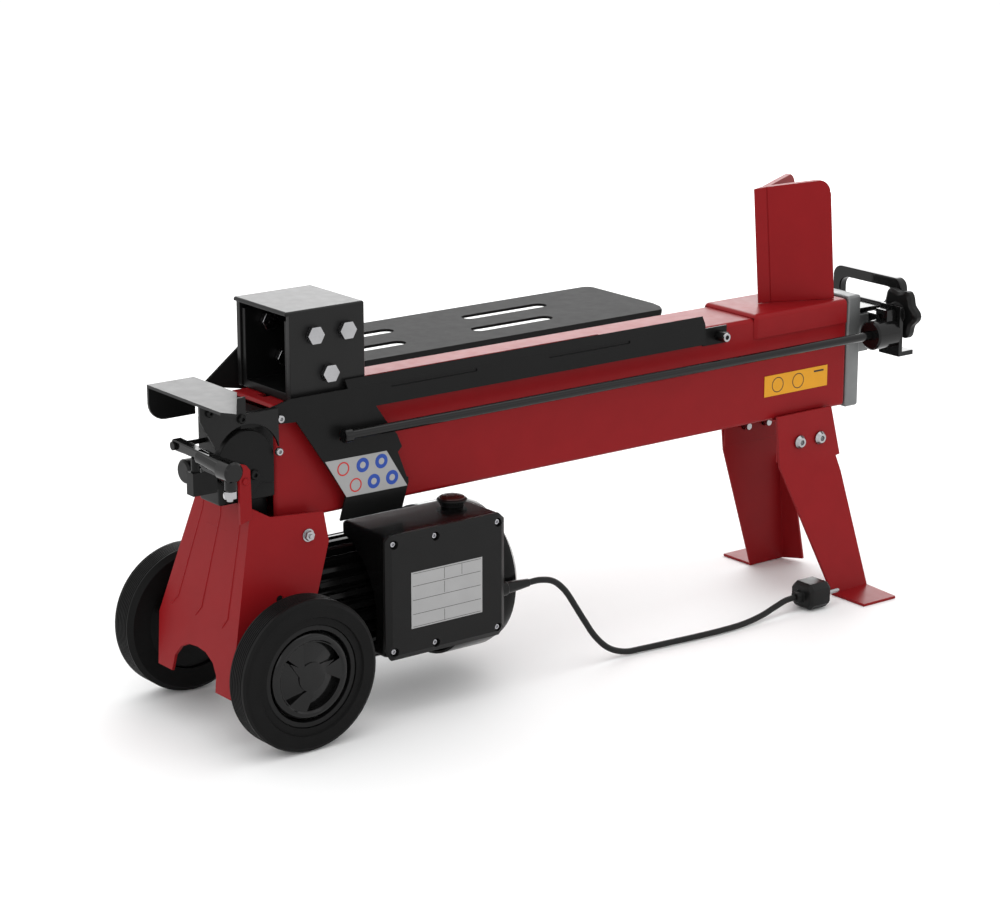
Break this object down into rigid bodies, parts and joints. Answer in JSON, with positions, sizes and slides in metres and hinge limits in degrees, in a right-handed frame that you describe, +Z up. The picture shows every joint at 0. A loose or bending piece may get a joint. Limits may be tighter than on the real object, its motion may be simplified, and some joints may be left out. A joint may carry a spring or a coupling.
{
  "type": "log splitter",
  "caption": "Electric horizontal log splitter: beam on wheels and legs, ram-driven pusher, wedge, side table, motor with switch box, control lever and a mains cord.",
  "frame": {"origin": "middle of the machine's length and width, on the floor it stands on; the free cord and its plug are left out of that measure", "axes": "+X along the beam from the wheel end to the wedge end, +Y from the control side to the side table, +Z up"},
  "size_m": [0.959, 0.336, 0.4721],
  "materials": {
    "red_paint": "gloss powder coat",
    "black_paint": "satin powder coat",
    "bright_steel": "zinc plated",
    "carriage_steel": "semi-gloss",
    "bare_aluminium": "as cast",
    "cast_black": "black enamel",
    "windings": "varnished",
    "black_plastic": "moulded",
    "gloss_plastic": "moulded, glossy",
    "button_rubber": "translucent cover",
    "tyre_rubber": "moulded rubber",
    "cord_rubber": "sheathed cord"
  },
  "bodies": {
    "machine": {"axle": "bright_steel", "carry_handle": "black_plastic", "clamp_collar": "black_paint", "cord_gland": "black_plastic", "end_bracket": "black_paint", "end_cap": "bare_aluminium", "fan_cover": "black_plastic", "front_leg": "red_paint", "gear_pump": "cast_black", "leg_bolt_1": "bright_steel", "leg_bolt_2": "bright_steel", "leg_bolt_3": "bright_steel", "leg_bolt_4": "bright_steel", "lever_guard": "black_paint", "lever_pin": "bright_steel", "log_rail": "black_paint", "log_table": "black_paint", "main_beam": "red_paint", "motor_housing": "cast_black", "piston_rod": "bright_steel", "plug": "black_plastic", "plug_pin_1": "bright_steel", "plug_pin_2": "bright_steel", "power_cord": "cord_rubber", "rail_bolt": "bright_steel", "rear_bracket": "red_paint", "rear_leg_far": "red_paint", "rear_leg_near": "red_paint", "stator": "windings", "stop_rod": "black_paint", "switch_box": "black_plastic", "switch_box_cover": "black_plastic", "valve_block": "cast_black", "valve_cover": "black_paint", "wedge": "red_paint", "wedge_saddle": "red_paint"},
    "pusher": {"pusher_box": "black_paint", "pusher_carriage": "carriage_steel", "ram_cylinder": "bright_steel", "return_spring": "bright_steel", "pusher_bolt_1": "bright_steel", "pusher_bolt_2": "bright_steel", "pusher_bolt_3": "bright_steel", "pusher_bolt_4": "bright_steel", "pusher_bolt_5": "bright_steel", "pusher_bolt_6": "bright_steel"},
    "near_wheel": {"tyre_near": "tyre_rubber", "wheel_near": "black_plastic", "hub_cap_near": "gloss_plastic"},
    "far_wheel": {"tyre_far": "tyre_rubber", "wheel_far": "black_plastic", "hub_cap_far": "gloss_plastic"},
    "motor_rotor": {"rotor": "bright_steel", "fan": "black_plastic"},
    "button": {"start_button": "button_rubber"},
    "lever": {"control_lever": "black_paint", "lever_knob": "black_plastic"},
    "spool": {"valve_spool": "bright_steel"},
    "knob": {"star_knob": "black_plastic"},
    "air_screw": {"bleed_screw": "black_plastic"}
  },
  "joints": [
    {"name": "pusher_slide", "type": "slide", "parent": "machine", "child": "pusher", "axis": [1, 0, 0], "range_m": [0, 0.34], "stiffness_N_per_m": 120, "springref_m": -0.05, "deforming": ["return_spring"]},
    {"name": "near_wheel_spin", "type": "hinge", "parent": "machine", "child": "near_wheel", "pos_m": [-0.391, -0.147, 0.0775], "axis": [0, 1, 0], "continuous": true},
    {"name": "far_wheel_spin", "type": "hinge", "parent": "machine", "child": "far_wheel", "pos_m": [-0.391, 0.073, 0.0775], "axis": [0, 1, 0], "continuous": true},
    {"name": "rotor_spin", "type": "hinge", "parent": "machine", "child": "motor_rotor", "pos_m": [-0.251, -0.037, 0.101], "axis": [1, 0, 0], "continuous": true},
    {"name": "button_press", "type": "slide", "parent": "machine", "child": "button", "axis": [0, 0, -1], "range_m": [0, 0.004], "stiffness_N_per_m": 400, "springref_m": -0.002},
    {"name": "lever_turn", "type": "hinge", "parent": "machine", "child": "lever", "pos_m": [-0.469, -0.056, 0.302], "axis": [1, 0, 0], "range_deg": [0, 18], "stiffness_Nm_per_rad": 1.5, "springref_deg": -11.46},
    {"name": "spool_slide", "type": "slide", "parent": "machine", "child": "spool", "axis": [0, 0, -1], "range_m": [0, 0.0098]},
    {"name": "star_knob_turn", "type": "hinge", "parent": "machine", "child": "knob", "pos_m": [0.461, -0.1, 0.3135], "axis": [1, 0, 0], "range_deg": [0, 270]},
    {"name": "bleed_screw_turn", "type": "hinge", "parent": "machine", "child": "air_screw", "pos_m": [-0.461, -0.058, 0.275], "axis": [-1, 0, 0], "range_deg": [0, 360]}
  ],
  "couplings": [
    {"joint": "spool_slide", "follows": "lever_turn", "m_per_rad": 0.031}
  ]
}
